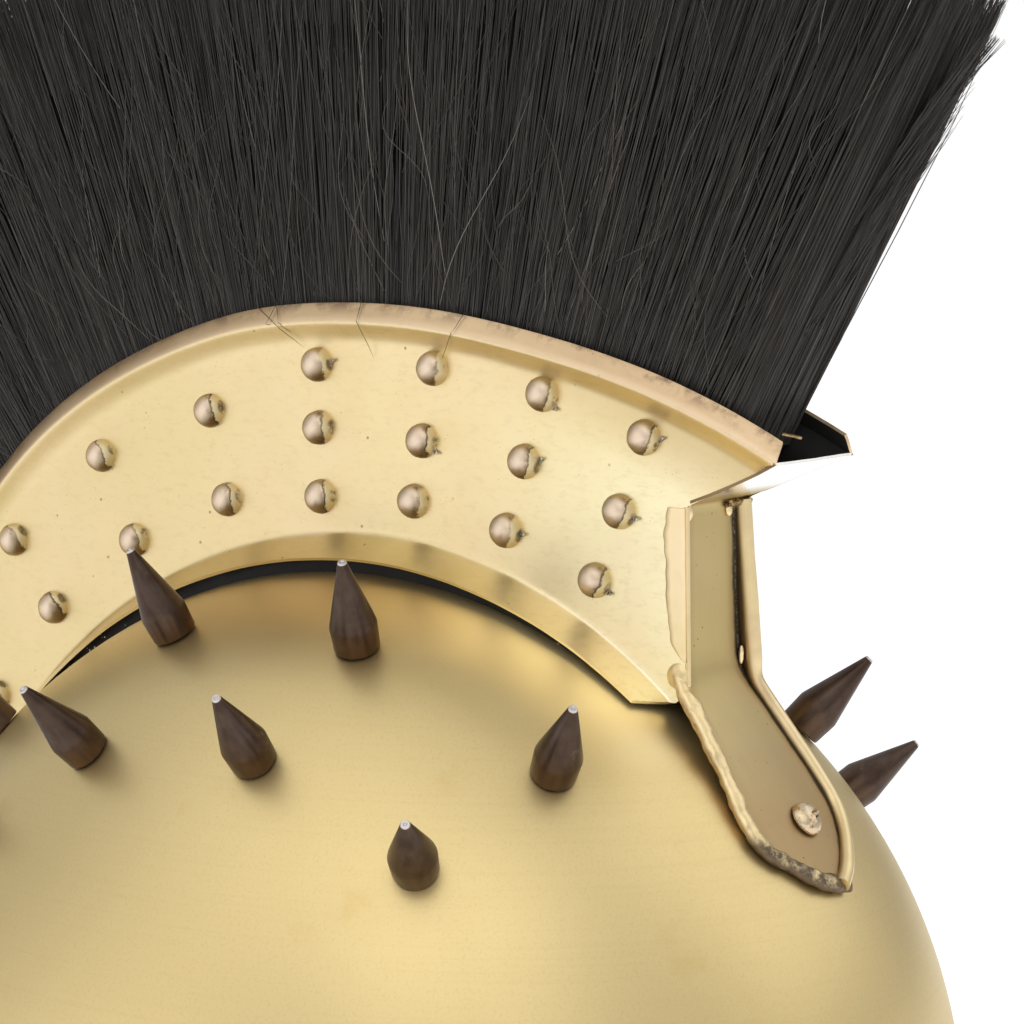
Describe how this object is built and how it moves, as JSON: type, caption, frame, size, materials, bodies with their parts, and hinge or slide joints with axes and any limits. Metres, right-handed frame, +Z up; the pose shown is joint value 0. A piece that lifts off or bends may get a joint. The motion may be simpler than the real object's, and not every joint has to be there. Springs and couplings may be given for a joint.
{
  "type": "crested helmet",
  "caption": "Brass helmet bowl with conical spikes and a soldered crest box holding a fan of black bristles, open below for the head.",
  "frame": {"origin": "bottom centre of the bounding box, on the plane that the rolled edge rests on", "axes": "+Z up through the crown, -Y towards the front of the helmet, -X towards the wearer's right"},
  "size_m": [0.2234, 0.3494, 0.3186],
  "materials": {
    "bowl_brass": "smooth satin brass with faint stains and hairline scratches",
    "crest_brass": "brushed pale sheet brass, coppery along the lip, olive at foot and strap, dark patina at the strap's point",
    "rivet_brass": "bright hammered brass",
    "dark_steel": "dark brown oxidised, satin, bare metal at the tip",
    "bristle": "black horsehair with a soft sheen"
  },
  "bodies": {
    "root": {"bowl": "bowl_brass", "crest_box": "crest_brass", "front_rivet": "rivet_brass", "rear_rivet": "rivet_brass", "plume": "bristle", "spike_right_upper_1": "dark_steel", "spike_right_upper_2": "dark_steel", "spike_right_upper_3": "dark_steel", "spike_right_upper_4": "dark_steel", "spike_right_lower_1": "dark_steel", "spike_right_lower_2": "dark_steel", "spike_right_lower_3": "dark_steel", "spike_right_lower_4": "dark_steel", "spike_left_upper_1": "dark_steel", "spike_left_upper_2": "dark_steel", "spike_left_upper_3": "dark_steel", "spike_left_upper_4": "dark_steel", "spike_left_lower_1": "dark_steel", "spike_left_lower_2": "dark_steel", "spike_left_lower_3": "dark_steel", "spike_left_lower_4": "dark_steel"}
  },
  "joints": []
}
